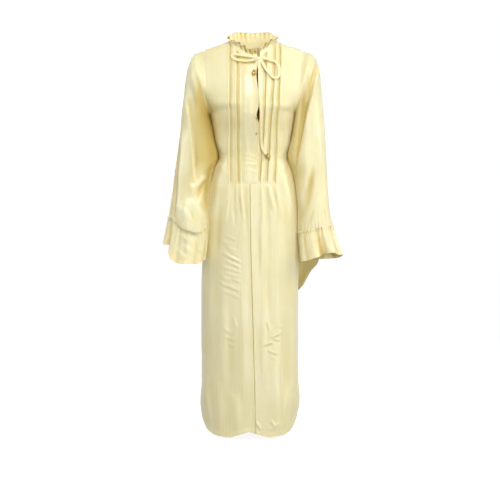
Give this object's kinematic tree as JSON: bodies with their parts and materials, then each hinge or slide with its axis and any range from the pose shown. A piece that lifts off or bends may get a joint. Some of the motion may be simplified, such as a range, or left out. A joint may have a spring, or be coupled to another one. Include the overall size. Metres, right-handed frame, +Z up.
{
  "type": "butterfly abaya",
  "caption": "Long satin abaya with wide butterfly sleeves, ruffled stand collar, tied bow, pin tucked front, ruffled cuffs and a rounded hem.",
  "frame": {"origin": "Midway between the two points where the neck meets the shoulder seams, where the wearer's neck and shoulders hold the garment", "axes": "+Z up along the garment's length, front towards -Y, +X towards the right hand side as seen from the front"},
  "size_m": [0.6456, 0.2764, 1.4551],
  "materials": {
    "satin": "butter yellow satin with a soft sheen",
    "gold": "polished gold tone metal"
  },
  "bodies": {
    "root": {"front_left": "satin", "front_right": "satin", "back": "satin", "placket": "satin", "sleeve_left_front": "satin", "sleeve_left_back": "satin", "sleeve_right_front": "satin", "sleeve_right_back": "satin", "wing_left": "satin", "wing_right": "satin", "cuff_ruffle_left": "satin", "cuff_ruffle_right": "satin", "collar_stand": "satin", "collar_ruffle": "satin", "tie_knot": "satin", "tie_loop_left": "satin", "tie_loop_right": "satin", "tie_end_long": "satin", "tie_end_short": "satin", "bead_long": "gold", "bead_short": "gold", "button_upper": "satin", "button_lower": "satin"}
  },
  "joints": []
}
